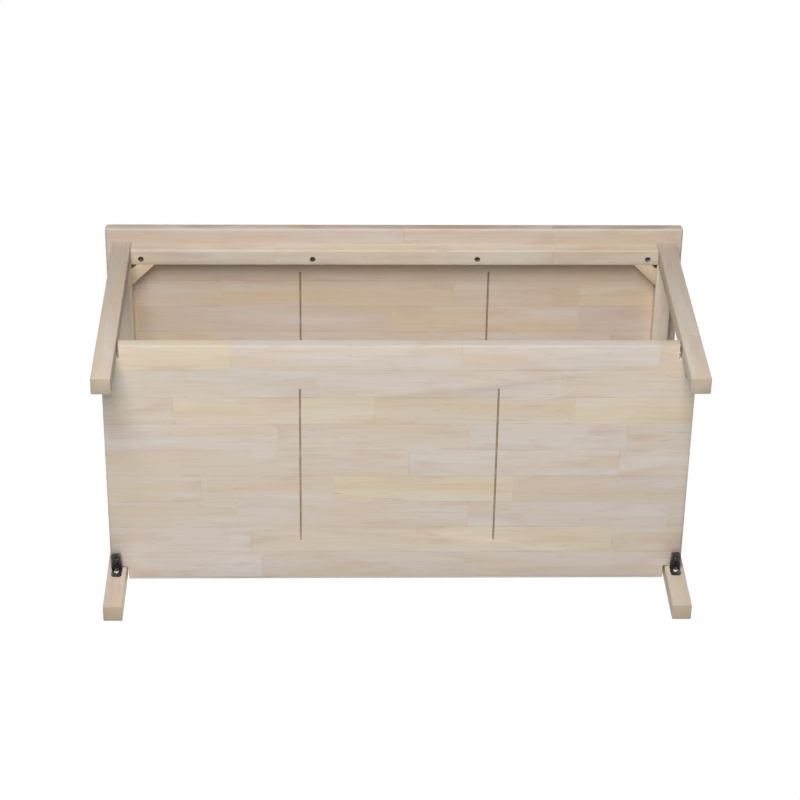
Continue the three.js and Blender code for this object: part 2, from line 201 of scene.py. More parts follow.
def surface(tree: NodeTree, inputs: dict) -> None:
    """Ends a material in a Principled shader with these values and sockets."""
    shader = add_node(tree, "BsdfPrincipled", inputs)
    add_node(tree, "OutputMaterial", {"Surface": shader.outputs[0]})


@dataclass(frozen=True)
class Rubberwood:
    """Bare rubberwood, sanded smooth: pale, matt, with soft streaks and fine open pores.

    The eye reads it from the staves, which differ a little in tone, and from the thin seams.
    """

    name: str
    grain: Grain
    tones: tuple[str, ...]
    stave_width: float = 45.7 * MM
    seam_place: float = 0.0
    stave_length: float = 300 * MM
    stave_shift: tuple[float, float, float] = (23.0, 31.0, 17.0)  # keeps each one's grain apart
    row_slide: float = 37.0  # keeps the rows' joints apart, in stave lengths
    finger_pitch: float = 4 * MM
    finger_length: float = 5 * MM
    seam_width: float = 0.9 * MM  # a real glue line is under 0.2 mm, drawn wider so it shows
    seam_depth: float = 0.42
    streak_length: float = 110 * MM
    streak_width: float = 3.2 * MM
    streak_depth: float = 0.20
    figure_length: float = 240 * MM
    figure_width: float = 24 * MM
    figure_lines: float = 9.0
    figure_depth: float = 0.08
    fleck_length: float = 30 * MM
    fleck_width: float = 2.0 * MM
    fleck_depth: float = 0.42
    smudge_length: float = 110 * MM
    smudge_width: float = 26 * MM
    blush: str = "C9ABA0"
    blush_depth: float = 0.42
    honey: str = "D0B892"
    honey_depth: float = 0.36
    pale: str = "D8D8D4"
    pale_depth: float = 0.34
    seam_colour: str = "8C7A66"
    streak_colour: str = "AE9B86"
    end_colour: str = "A39478"
    end_depth: float = 0.45
    seed: float = 0.0

    def material(self) -> Material:
        """Makes the wood's material.

        Returns:
            The material.
        """
        material, tree = new_material(self.name)
        place = add_node(tree, "TexCoord")
        axes = add_node(tree, "SeparateXYZ", {0: place.outputs["Object"]})
        facing = add_node(tree, "SeparateXYZ", {0: place.outputs["Normal"]})
        along, across, through = (axes.outputs[letter] for letter in self.grain.value)
        stave, seams = self._staves(tree, along, across, through)
        grained = add_node(tree, "CombineXYZ", {0: along, 1: across, 2: through})
        shifted = add_node(tree, "VectorMath", {
            0: stave, 1: self.stave_shift, 2: grained.outputs[0]}, operation="MULTIPLY_ADD")
        streaks, flecks, broad, smudges = (
            self._noise(tree, shifted.outputs[0], length, width, detail)
            for length, width, detail in (
                (self.streak_length, self.streak_width, 5.0),
                (self.fleck_length, self.fleck_width, 2.0),
                (self.figure_length, self.figure_width, 1.0),
                (self.smudge_length, self.smudge_width, 2.0)))
        colour = self._colour(tree, stave, streaks, flecks, broad, smudges, seams, facing)
        height = maths(tree, "MULTIPLY_ADD", seams, -0.8, streaks)
        surface(tree, {
            "Base Color": colour, "Roughness": remap(tree, streaks, 0.3, 0.7, 0.58, 0.74),
            "IOR": 1.5, "Specular IOR Level": 0.3,
            "Normal": bumps(tree, height, 0.45, 0.25 * MM)})
        return material

    def _staves(self, tree: NodeTree, along: NodeSocket, across: NodeSocket,
                through: NodeSocket) -> tuple[NodeSocket, NodeSocket]:
        """Splits the wood into staves, each with its own chance colour.

        Args:
            tree: The material's nodes.
            along: The place along the grain.
            across: The place across it.
            through: The place in the thickness, which the joint fingers follow.

        Returns:
            A chance colour that is the same all over a stave, and how near a seam is, 0 to 1.
        """
        rows = maths(tree, "MULTIPLY_ADD", across, 1 / self.stave_width, self.seam_place)
        seeded = maths(tree, "ADD", maths(tree, "FLOOR", rows), self.seed)
        chance = add_node(tree, "TexWhiteNoise", {"W": seeded}, noise_dimensions="1D")
        fingers = maths(tree, "PINGPONG", through, self.finger_pitch / 2)
        stepped = maths(
            tree, "MULTIPLY_ADD", fingers, 2 * self.finger_length / self.finger_pitch, along)
        scaled = maths(tree, "MULTIPLY", stepped, 1 / self.stave_length)
        slid = maths(tree, "MULTIPLY_ADD", chance.outputs[0], self.row_slide, scaled)
        stave, joint = (
            add_node(tree, "TexVoronoi", {"W": slid, "Scale": 1.0, "Randomness": 0.75},
                     voronoi_dimensions="1D", feature=feature)
            for feature in ("F1", "DISTANCE_TO_EDGE"))
        near_row = remap(tree, maths(tree, "PINGPONG", rows, 0.5), 0.0,
                         self.seam_width / self.stave_width, 1.0, 0.0)
        near_joint = remap(tree, joint.outputs["Distance"], 0.0,
                           self.seam_width / self.stave_length, 0.7, 0.0)
        return stave.outputs["Color"], maths(tree, "MAXIMUM", near_row, near_joint)

    def _noise(self, tree: NodeTree, place: NodeSocket, length: float, width: float,
               detail: float) -> NodeSocket:
        """Draws soft streaks of one size along the grain.

        Args:
            tree: The material's nodes.
            place: The place in the wood, with the grain along X.
            length: How long a streak is.
            width: How wide it is.
            detail: How many finer layers it has.

        Returns:
            The streaks, about 0.5 on average.
        """
        stretched = add_node(tree, "VectorMath", {
            0: place, 1: (1 / length, 1 / width, 1 / width)}, operation="MULTIPLY")
        noise = add_node(tree, "TexNoise", {
            "Vector": stretched.outputs[0], "Scale": 1.0, "Detail": detail, "Roughness": 0.6})
        return noise.outputs[0]

    def _colour(self, tree: NodeTree, stave: NodeSocket, streaks: NodeSocket,
                flecks: NodeSocket, broad: NodeSocket, smudges: NodeSocket,
                seams: NodeSocket, facing: Node) -> NodeSocket:
        """Mixes the wood's colour from its layers.

        Args:
            tree: The material's nodes.
            stave: The chance colour of each stave.
            streaks: The fine streaks.
            flecks: The short dark marks.
            broad: The slow change that the growth rings follow.
            smudges: The pinkish patches, where the seams are darkest.
            seams: How near a seam is.
            facing: The surface's direction, split into its axes.

        Returns:
            The colour.
        """
        chance = add_node(tree, "SeparateColor", {0: stave})
        ramp = add_node(tree, "ValToRGB", {0: chance.outputs[0]})
        stops = ramp.color_ramp.elements
        while len(stops) < len(self.tones):
            stops.new(0.5)
        for i, tone in enumerate(self.tones):
            stops[i].position = i / (len(self.tones) - 1)
            stops[i].color = linear(tone)
        lines = maths(tree, "PINGPONG", maths(tree, "MULTIPLY", broad, self.figure_lines), 0.5)
        end = maths(tree, "ABSOLUTE", facing.outputs[self.grain.value[0]])
        patchy = remap(tree, smudges, 0.42, 0.60, 0.15, 1.0)
        layers = (  # what drives a layer, where it starts, where it is full, how full, its tint
            (broad, 0.50, 0.68, self.honey_depth, self.honey),
            (broad, 0.46, 0.28, self.pale_depth, self.pale),
            (smudges, 0.54, 0.72, self.blush_depth, self.blush),
            (lines, 0.30, 0.50, self.figure_depth, self.streak_colour),
            (streaks, 0.50, 0.72, self.streak_depth, self.streak_colour),
            (flecks, 0.66, 0.76, self.fleck_depth, self.seam_colour),
            (maths(tree, "MULTIPLY", seams, patchy), 0.0, 1.0, self.seam_depth, self.seam_colour),
            (end, 0.70, 0.95, self.end_depth, self.end_colour),
        )
        colour = ramp.outputs[0]
        for amount, low, high, depth, tint in layers:
            share = remap(tree, amount, low, high, 0.0, depth)
            colour = blend(tree, share, colour, linear(tint))
        return colour


@dataclass(frozen=True)
class BlackEnamelledSteel:
    """Pressed steel under baked black enamel: near black, with a soft bright line at bends."""

    name: str = "black_enamelled_steel"
    colour: str = "0D0C0B"
    worn: str = "2E2A27"
    ripple: float = 0.9 * MM
    mottle: float = 4 * MM

    def material(self) -> Material:
        """Makes the enamel's material.

        Returns:
            The material.
        """
        material, tree = new_material(self.name)
        mottle = mottling(tree, self.mottle, 4.0)
        surface(tree, {
            "Base Color": blend(tree, remap(tree, mottle, 0.5, 0.8), linear(self.colour),
                                linear(self.worn)),
            "Roughness": remap(tree, mottle, 0.3, 0.7, 0.22, 0.38), "IOR": 1.52,
            "Coat Weight": 0.4, "Coat Roughness": 0.15,
            "Normal": bumps(tree, mottling(tree, self.ripple, 3.0), 0.25, 0.05 * MM)})
        return material


@dataclass(frozen=True)
class ZincPlatedSteel:
    """Turned screw steel with bright zinc plating: pale grey and cloudy, with small glints."""

    name: str = "zinc_plated_steel"
    colour: str = "E2DFD6"
    dull: str = "B4AFA4"
    mottle: float = 1.5 * MM

    def material(self) -> Material:
        """Makes the plating's material.

        Returns:
            The material.
        """
        material, tree = new_material(self.name)
        mottle = mottling(tree, self.mottle, 4.0)
        surface(tree, {
            "Base Color": blend(tree, mottle, linear(self.colour), linear(self.dull)),
            "Metallic": 0.65, "Roughness": remap(tree, mottle, 0.3, 0.7, 0.45, 0.62),
            "Normal": bumps(tree, mottle, 0.2, 0.03 * MM)})
        return material


@dataclass(frozen=True)
class PaleFloorPaint:
    """Matt pale floor paint. It shows from above only, so the bench is seen from below too.

    A faint glow of its own keeps the far floor pale, where no softbox reaches.
    """

    name: str = "pale_floor_paint"
    colour: str = "C4C2BE"
    glow: str = "F6F5F2"
    glow_strength: float = 0.6
    stipple: float = 12 * MM

    def material(self) -> Material:
        """Makes the floor's material.

        Returns:
            The material.
        """
        material, tree = new_material(self.name)
        rough = remap(tree, mottling(tree, self.stipple, 2.0), 0.0, 1.0, 0.8, 0.95)
        paint = add_node(tree, "BsdfPrincipled", {
            "Base Color": linear(self.colour), "Roughness": rough,
            "Specular IOR Level": 0.2, "Emission Color": linear(self.glow),
            "Emission Strength": self.glow_strength})
        clear = add_node(tree, "BsdfTransparent")
        side = add_node(tree, "NewGeometry")
        shown = add_node(tree, "MixShader", {
            0: side.outputs["Backfacing"], 1: paint.outputs[0], 2: clear.outputs[0]})
        add_node(tree, "OutputMaterial", {"Surface": shown.outputs[0]})
        return material


def only(obj: Object) -> None:
    """Selects one object, makes it active and deselects everything else.

    Args:
        obj: The object to work on.
    """
    bpy.ops.object.select_all(action="DESELECT")
    obj.select_set(True)
    bpy.context.view_layer.objects.active = obj


def place_in_mesh(obj: Object) -> None:
    """Puts an object's place, turn and size into its mesh."""
    only(obj)
    bpy.ops.object.transform_apply(location=True, rotation=True, scale=True)


def add_box(name: str, low: Vector, high: Vector) -> Object:
    """Adds a plain box to shape or to cut with.

    Args:
        name: The object's name.
        low: Its lowest corner.
        high: Its highest corner.

    Returns:
        The box.
    """
    bpy.ops.object.select_all(action="DESELECT")
    bpy.ops.mesh.primitive_cube_add(size=1, location=(low + high) / 2)
    box = bpy.context.object
    box.name = name
    box.scale = high - low
    place_in_mesh(box)
    return box


def add_rod(name: str, radius: float, start: Vector, end: Vector, sides: int = 48) -> Object:
    """Adds a round rod from one point to another, to shape or to cut with.

    Args:
        name: The object's name.
        radius: Its radius.
        start: The middle of its first end.
        end: The middle of its other end.
        sides: How many sides it has.

    Returns:
        The rod.
    """
    bpy.ops.object.select_all(action="DESELECT")
    bpy.ops.mesh.primitive_cylinder_add(
        vertices=sides, radius=radius, depth=(end - start).length, location=(start + end) / 2,
        rotation=(end - start).to_track_quat("Z", "Y").to_euler())
    rod = bpy.context.object
    rod.name = name
    place_in_mesh(rod)
    return rod


def bevel_edges(obj: Object, chosen: Callable[[Vector, Vector], bool], width: float,
                segments: int) -> None:
    """Rounds the edges that a test picks.

    Args:
        obj: The object.
        chosen: A test that is given an edge's two ends.
        width: How far the rounding reaches from the edge.
        segments: How many strips it has.
    """
    only(obj)
    mesh = obj.data
    for part in (mesh.polygons, mesh.vertices):
        part.foreach_set("select", [False] * len(part))
    for edge in mesh.edges:
        edge.select = chosen(*(mesh.vertices[v].co for v in edge.vertices))
    bpy.ops.object.mode_set(mode="EDIT")
    bpy.ops.mesh.select_mode(type="EDGE")
    bpy.ops.mesh.bevel(offset=width, segments=segments, affect="EDGES", clamp_overlap=True)
    bpy.ops.object.mode_set(mode="OBJECT")


def select_faces(obj: Object, chosen: Callable[[MeshPolygon], bool]) -> None:
    """Selects the faces that a test picks, and goes into edit mode.

    Args:
        obj: The object.
        chosen: A test that is given a face.
    """
    only(obj)
    mesh = obj.data
    for part in (mesh.edges, mesh.vertices):
        part.foreach_set("select", [False] * len(part))
    for face in mesh.polygons:
        face.select = chosen(face)
    bpy.ops.object.mode_set(mode="EDIT")
    bpy.ops.mesh.select_mode(type="FACE")


def cut(obj: Object, *cutters: Object) -> None:
    """Cuts other objects out of one, and throws them away.

    Args:
        obj: The object that is cut.
        cutters: The objects that cut it.
    """
    for cutter in cutters:
        only(obj)
        modifier = obj.modifiers.new("cut", "BOOLEAN")
        modifier.operation, modifier.solver, modifier.object = "DIFFERENCE", "EXACT", cutter
        bpy.ops.object.modifier_apply(modifier=modifier.name)
        bpy.data.objects.remove(cutter, do_unlink=True)


def soften(obj: Object, width: float, angle: float = 35.0) -> None:
    """Breaks every sharp edge a little, as sandpaper does, and shades the curves smooth.

    Args:
        obj: The object.
        width: How far the rounding reaches.
        angle: The bend in degrees from which an edge counts as sharp.
    """
    only(obj)
    if width > 0:
        modifier = obj.modifiers.new("soften", "BEVEL")
        modifier.width, modifier.segments = width, 2
        modifier.limit_method, modifier.angle_limit = "ANGLE", math.radians(angle)
        bpy.ops.object.modifier_apply(modifier=modifier.name)
    bpy.ops.object.shade_smooth_by_angle(angle=SMOOTH)


def copy_of(obj: Object, name: str, place: Matrix) -> Object:
    """Copies a modelled piece to another place, with a mesh of its own.

    Args:
        obj: The piece.
        name: The copy's name.
        place: How the copy is turned and moved.

    Returns:
        The copy.
    """
    twin = obj.copy()
    twin.data = obj.data.copy()
    twin.name = name
    bpy.context.collection.objects.link(twin)
    twin.matrix_world = place
    place_in_mesh(twin)
    return twin


def middle(node: str) -> Vector:
    """The middle of a CAD node's box."""
    low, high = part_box(node)
    return (low + high) / 2


def nodes_of(*starts: str) -> list[str]:
    """Lists the CAD nodes whose names start in one of these ways."""
    return sorted(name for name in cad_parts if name.startswith(starts))


def hole_round(node: str, radius: float) -> Object:
    """Shapes the level blind hole that a dowel or a screw sits in.

    Args:
        node: The CAD node of the dowel or screw.
        radius: The hole's radius.

    Returns:
        The solid to cut out, a little longer than what sits in it.
    """
    start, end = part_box(node)
    size, centre = end - start, (start + end) / 2
    axis = 0 if size.x > size.y else 1
    reach = Vector((0, 0, 0))
    reach[axis] = size[axis] / 2 + FIT
    return add_rod("hole", radius, centre - reach, centre + reach, HOLE_SIDES)


def level_at(a: Vector, b: Vector, *heights: float) -> bool:
    """Tells whether an edge from a to b lies level at one of the heights."""
    return abs(a.z - b.z) < NEAR and min(abs(a.z - z) for z in heights) < NEAR


@dataclass
class SubAssembly:
    """Pieces of the bench that are built and dressed together."""

    pieces: list[tuple[Object, str, tuple[str, ...]]] = field(default_factory=list, init=False)

    def keep(self, piece: Object, slot: str, *nodes: str) -> None:
        """Notes a finished piece, its material slot and the CAD nodes it stands for.

        Args:
            piece: The finished piece.
            slot: The record's material slot.
            nodes: The CAD nodes that it replaces.
        """
        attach(piece, BODY)
        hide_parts(*nodes)
        self.pieces.append((piece, slot, nodes))

    def build(self) -> None:
        """Models the pieces."""
        raise NotImplementedError

    def dress(self) -> None:
        """Gives the pieces their materials."""
        raise NotImplementedError

    def report(self) -> None:
        """Logs each piece with its triangle count."""
        for piece, slot, nodes in self.pieces:
            piece.data.calc_loop_triangles()
            log.info("%s: %d triangles, %s, for %s", piece.name,
                     len(piece.data.loop_triangles), slot, ", ".join(nodes))


def paint(piece: Object, material: Material) -> None:
    """Gives a piece one material all over."""
    piece.data.materials.clear()
    piece.data.materials.append(material)


@dataclass
class Board(SubAssembly):
    """A glued-up board with eased edges and two stopped saw kerfs in its underside."""

    node: str = "seat_board"
    slot: str = "seat_wood"
    ease: float = 3 * MM
    corner_radius: float = 5 * MM
    kerf_spacing: float = 300 * MM
    kerf_margin: float = 75 * MM
    kerf_width: float = 3 * MM
    kerf_depth: float = 5 * MM
    blade_radius: float = 60 * MM
    blade_sides: int = 160
    seat_pilot: float = 2.4 * MM
    shelf_pilot: float = 2.05 * MM
    # darker browns for the kerfs' faces: painted shade inside the saw slots
    sawn_tones: tuple[str, ...] = ("A08C75", "A8957E")
    finish: Rubberwood | None = None

    def blank(self) -> Object:
        """Cuts the board to its outline.

        Returns:
            The board before its edges are eased.
        """
        low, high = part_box(self.node)
        board = add_box(self.node + "_wood", low, high)
        thickness = high.z - low.z
        bevel_edges(board, lambda a, b: abs(a.z - b.z) > thickness / 2, self.corner_radius, 4)
        return board

    def kerf_tools(self) -> list[Object]:
        """Shapes what the saw takes out: a round blade lowered, run along and lifted.

        Returns:
            The solids to cut out of the board.
        """
        low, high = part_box(self.node)
        centre = (low + high) / 2
        reach = (high.y - low.y) / 2 - self.kerf_margin
        chord = math.sqrt(self.blade_radius ** 2 - (self.blade_radius - self.kerf_depth) ** 2)
        tools = []
        for side in (-1, 1):
            x = centre.x + side * self.kerf_spacing / 2
            half = Vector((self.kerf_width / 2, 0, 0))
            for end in (-1, 1):
                hub = Vector((x, centre.y + end * (reach - chord),
                              low.z + self.kerf_depth - self.blade_radius))
                tools.append(add_rod(
                    "blade", self.blade_radius, hub - half, hub + half, self.blade_sides))
            run = Vector((0, reach - chord, 0))
            floor = Vector((x, centre.y, low.z))
            tools.append(add_box("kerf", floor - half - run - Vector((0, 0, PAST)),
                                 floor + half + run + Vector((0, 0, self.kerf_depth))))
        return tools

    def pilot_tools(self) -> list[Object]:
        """Shapes the pilot holes for the screws that enter this board.

        Returns:
            The solids to cut out of the board.
        """
        low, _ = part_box(self.node)
        tools = []
        for name in nodes_of("seat_screw", "brace_screw_shelf"):
            start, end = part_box(name)
            if start.z < low.z < end.z:
                centre = (start + end) / 2
                radius = self.seat_pilot if name.startswith("seat") else self.shelf_pilot
                tools.append(add_rod("pilot", radius, Vector((centre.x, centre.y, start.z)),
                                     Vector((centre.x, centre.y, end.z + FIT)), HOLE_SIDES))
        return tools

    def build(self) -> None:
        """Models the board: outline, eased edges, kerfs and pilot holes."""
        board = self.blank()
        low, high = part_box(self.node)
        bevel_edges(board, lambda a, b: level_at(a, b, low.z, high.z), self.ease, 3)
        cut(board, *self.kerf_tools(), *self.pilot_tools())
        soften(board, 0)
        self.keep(board, self.slot, self.node)

    def dress(self) -> None:
        """Gives the board its staved wood, and paints the kerfs' faces a darker brown: painted
        shade inside the slots.
        """
        low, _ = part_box(self.node)
        middle_x = middle(self.node).x
        half, slack = self.kerf_width * 0.51, 0.01 * MM  # half the kerf's width, and a hair more
        # a darker copy of the board's wood for the kerfs' faces: painted shade inside the slots
        painted_kerf_shade = replace(self.finish, name=self.finish.name + "_sawn", tones=self.sawn_tones)
        for piece, _, _ in self.pieces:
            paint(piece, self.finish.material())
            piece.data.materials.append(painted_kerf_shade.material())
            for face in piece.data.polygons:
                from_kerf = abs(abs(face.center.x - middle_x) - self.kerf_spacing / 2)
                depth = face.center.z - low.z
                if from_kerf < half and slack < depth < self.kerf_depth + slack:
                    face.material_index = 1


@dataclass
class ShelfBoard(Board):
    """The shelf: the same board, notched at its corners round the legs."""

    side_clearance: float = 3 * MM
    end_clearance: float = 1 * MM
    notch_reach: float = 0.1

    def blank(self) -> Object:
        """Cuts the board to its outline, with a notch for each leg.

        Returns:
            The board before its edges are eased.
        """
        low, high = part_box(self.node)
        board = add_box(self.node + "_wood", low, high)
        for corner in Corner:
            leg_low, leg_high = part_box("leg_" + corner.label)
            sx, sy = corner.side
            leg_face = Vector((leg_low.x if sx > 0 else leg_high.x,
                               leg_low.y if sy > 0 else leg_high.y, 0))
            inner = leg_face - Vector((sx * self.side_clearance, sy * self.end_clearance, 0))
            outer = inner + Vector((sx, sy, 0)) * self.notch_reach
            start = Vector((min(inner.x, outer.x), min(inner.y, outer.y), low.z - PAST))
            end = Vector((max(inner.x, outer.x), max(inner.y, outer.y), high.z + PAST))
            cut(board, add_box("notch", start, end))
        return board


@dataclass
class LegSet(SubAssembly):
    """The four legs: plain square-edged posts, a little rounded along their corners."""

    corner_radius: float = 2 * MM
    end_ease: float = 1 * MM
    dowel_hole: float = 3.3 * MM
    screw_hole: float = 2.05 * MM
    finish: Rubberwood | None = None

    def build(self) -> None:
        """Models each leg with its dowel holes and the brace screw's hole."""
        for corner in Corner:
            node = "leg_" + corner.label
            low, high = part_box(node)
            leg = add_box(node + "_wood", low, high)
            length = high.z - low.z
            bevel_edges(leg, lambda a, b: abs(a.z - b.z) > length / 2, self.corner_radius, 4)
            bevel_edges(leg, lambda a, b: level_at(a, b, low.z, high.z), self.end_ease, 2)
            cut(leg, *self.hole_tools(corner))
            soften(leg, 0)
            self.keep(leg, "leg_wood", node)

    def hole_tools(self, corner: Corner) -> list[Object]:
        """Shapes the blind holes in one leg.

        Args:
            corner: The leg's corner.

        Returns:
            The solids to cut out of the leg.
        """
        low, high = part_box("leg_" + corner.label)
        tools = []
        for name in nodes_of("dowel_rail", "brace_screw_leg_" + corner.label):
            start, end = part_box(name)
            if all(start[i] <= high[i] and end[i] >= low[i] for i in range(3)):
                dowel = name.startswith("dowel")
                tools.append(hole_round(name, self.dowel_hole if dowel else self.screw_hole))
        return tools

    def dress(self) -> None:
        """Gives the legs their wood."""
        wood = self.finish.material()
        for piece, _, _ in self.pieces:
            paint(piece, wood)


@dataclass
class RailFrame(SubAssembly):
    """The rails under the seat, with counterbored screw holes, and the corner blocks."""

    rail_ease: float = 2.5 * MM
    broken_edge: float = 0.5 * MM
    counterbore_radius: float = 4.5 * MM
    counterbore_depth: float = 9 * MM
    shank_hole: float = 2.4 * MM
    dowel_hole: float = 3.3 * MM
    point_cut: float = 10 * MM
    tip_flat: float = 1.5 * MM
    finishes: dict[Grain, Rubberwood] = field(default_factory=dict)
    block_finish: Rubberwood | None = None
    # darker browns for the faces inside the screw holes: painted shade in the holes
    painted_bore_shade_tones: tuple[str, ...] = ("6E5B48", "77634F")
    bore_slack: float = 0.1 * MM
    grains: dict[str, Grain] = field(default_factory=dict, init=False)

    def build(self) -> None:
        """Models the four rails and the four corner blocks."""
        for side in RailSide:
            self.build_rail(side)
        for corner in Corner:
            self.build_block(corner)

    def build_rail(self, side: RailSide) -> None:
        """Models one rail, its lower outer edge rounded more than the others.

        Args:
            side: Which rail it is.
        """
        node = "rail_" + side.label
        low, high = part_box(node)
        rail = add_box(node + "_wood", low, high)
        out = side.outward
        face = max(out.dot(low), out.dot(high))
        bevel_edges(
            rail,
            lambda a, b: all(abs(p.z - low.z) < NEAR and abs(out.dot(p) - face) < NEAR
                             for p in (a, b)),
            self.rail_ease, 5)
        soften(rail, self.broken_edge, angle=60.0)
        cut(rail, *self.rail_tools(side))
        soften(rail, 0)
        self.keep(rail, "rail_wood", node)
        self.grains[rail.name] = side.grain

    def rail_tools(self, side: RailSide) -> list[Object]:
        """Shapes the counterbores, shank holes and dowel holes of one rail.

        Args:
            side: Which rail it is.

        Returns:
            The solids to cut out of the rail.
        """
        low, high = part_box("rail_" + side.label)
        tools = []
        past = Vector((0, 0, PAST))
        for name in nodes_of("dowel_rail_" + side.label):
            tools.append(hole_round(name, self.dowel_hole))
        for name in nodes_of("seat_screw_" + side.label):
            centre = middle(name)
            foot = Vector((centre.x, centre.y, low.z))
            top = Vector((centre.x, centre.y, high.z))
            bore = foot + Vector((0, 0, self.counterbore_depth))
            tools.append(add_rod("bore", self.counterbore_radius, foot - past, bore))
            tools.append(add_rod("shank", self.shank_hole, foot - past, top + past, HOLE_SIDES))
        return tools

    def build_block(self, corner: Corner) -> None:
        """Models one corner block: a square cut off at 45 degrees, with its point cut away.

        Args:
            corner: Which corner it sits in.
        """
        node = "corner_block_" + corner.label
        low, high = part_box(node)
        sx, sy = corner.side
        block = add_box(node + "_wood", low, high)
        seat = Vector((high.x if sx > 0 else low.x, high.y if sy > 0 else low.y, low.z))
        outward = Vector((sx, sy, 0))
        leg = high.x - low.x
        for run, sign in ((leg + self.tip_flat, 1), (self.point_cut, -1)):
            select_faces(block, lambda face: True)
            bpy.ops.mesh.bisect(
                plane_co=seat - outward * run / 2, plane_no=outward.normalized() * -sign,
                use_fill=True, clear_outer=True)
            bpy.ops.object.mode_set(mode="OBJECT")
        soften(block, self.broken_edge)
        self.keep(block, "rail_wood", node)

    def bore_faces(self, rail: Object, screws: list[Vector]) -> None:
        """Gives the faces inside a rail's screw holes the rail's second material: a darker brown,
        painted shade in the holes.

        Args:
            rail: The rail.
            screws: The middles of the seat screws.
        """
        low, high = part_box(rail.name.removesuffix("_wood"))
        reach, slack = self.counterbore_radius + self.bore_slack, self.bore_slack
        for face in rail.data.polygons:
            inside = low.z + slack < face.center.z < high.z - slack
            if inside and any((face.center - screw).xy.length < reach for screw in screws):
                face.material_index = 1

    def dress(self) -> None:
        """Gives each rail and block its wood, and the screw holes a darker brown: painted shade
        in the holes.
        """
        woods = {grain: finish.material() for grain, finish in self.finishes.items()}
        # a darker copy of the block wood for the holes' faces: painted shade
        painted_bore_shade = replace(self.block_finish, name="rubberwood_bored", tones=self.painted_bore_shade_tones)
        painted_bore_shade_wood, block_wood = painted_bore_shade.material(), self.block_finish.material()
        screws = [middle(name) for name in nodes_of("seat_screw")]
        for piece, _, _ in self.pieces:
            if piece.name not in self.grains:
                paint(piece, block_wood)
                continue
            paint(piece, woods[self.grains[piece.name]])
            piece.data.materials.append(painted_bore_shade_wood)
            self.bore_faces(piece, screws)


@dataclass
class ScrewShape:
    """A pan-head wood screw with a cross recess, modelled head down at the origin."""

    shank: float
    length: float
    head: float
    head_height: float
    tip: float
    recess_span: float = 3.6 * MM
    recess_slot: float = 0.9 * MM
    recess_depth: float = 1.2 * MM
    recess_past: float = 1 * MM
    crown_share: float = 0.72
    tip_share: float = 0.06
    sides: int = 40

    def model(self, name: str) -> Object:
        """Models the screw. Its head's seat is at z = 0 and its shank points up.

        Args:
            name: The object's name.

        Returns:
            The screw.
        """
        screw = add_rod(name, self.head / 2, Vector((0, 0, -self.head_height)),
                        Vector((0, 0, 0)), self.sides)
        crown = -self.head_height
        bevel_edges(screw, lambda a, b: max(a.z, b.z) < crown + NEAR,
                    self.head_height * self.crown_share, 6)
        select_faces(screw, lambda face: face.normal.z > UPWARD)
        bpy.ops.mesh.inset(thickness=(self.head - self.shank) / 2, depth=0)
        rise = self.length - self.tip
        bpy.ops.mesh.extrude_region_move(TRANSFORM_OT_translate={"value": (0, 0, rise)})
        bpy.ops.mesh.extrude_region_move(TRANSFORM_OT_translate={"value": (0, 0, self.tip)})
        bpy.ops.transform.resize(value=(self.tip_share, self.tip_share, 1),
                                 center_override=(0, 0, self.length))
        bpy.ops.object.mode_set(mode="OBJECT")
        half = Vector((self.recess_span, self.recess_slot, 0)) / 2
        for reach in (half, half.yxz):
            cut(screw, add_box("recess", -reach + Vector((0, 0, crown - self.recess_past)),
                               reach + Vector((0, 0, crown + self.recess_depth))))
        soften(screw, 0)
        return screw


@dataclass
class SeatScrews(SubAssembly):
    """The ten wood screws that rise through the rails into the seat."""

    shape: ScrewShape = field(default_factory=lambda: ScrewShape(
        shank=4.2 * MM, length=28 * MM, head=8 * MM, head_height=2.8 * MM, tip=5 * MM))
    # darker grey than the brace screws' plating: painted shade, as these heads sit deep in the
    # rails' holes
    finish: ZincPlatedSteel = field(default_factory=lambda: ZincPlatedSteel(
        name="dulled_zinc_plated_steel", colour="8F8A80", dull="5E5A53"))

    def build(self) -> None:
        """Models one screw and copies it to each place."""
        pattern = self.shape.model("seat_screw_pattern")
        for name in nodes_of("seat_screw"):
            low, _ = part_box(name)
            centre = middle(name)
            seat = Vector((centre.x, centre.y, low.z + self.shape.head_height))
            twin = copy_of(pattern, name + "_steel", Matrix.Translation(seat))
            self.keep(twin, "screw_steel", name)
        bpy.data.objects.remove(pattern, do_unlink=True)

    def dress(self) -> None:
        """Gives the screws their plating, painted darker grey as shade in the rails' holes."""
        plating = self.finish.material()
        for piece, _, _ in self.pieces:
            paint(piece, plating)


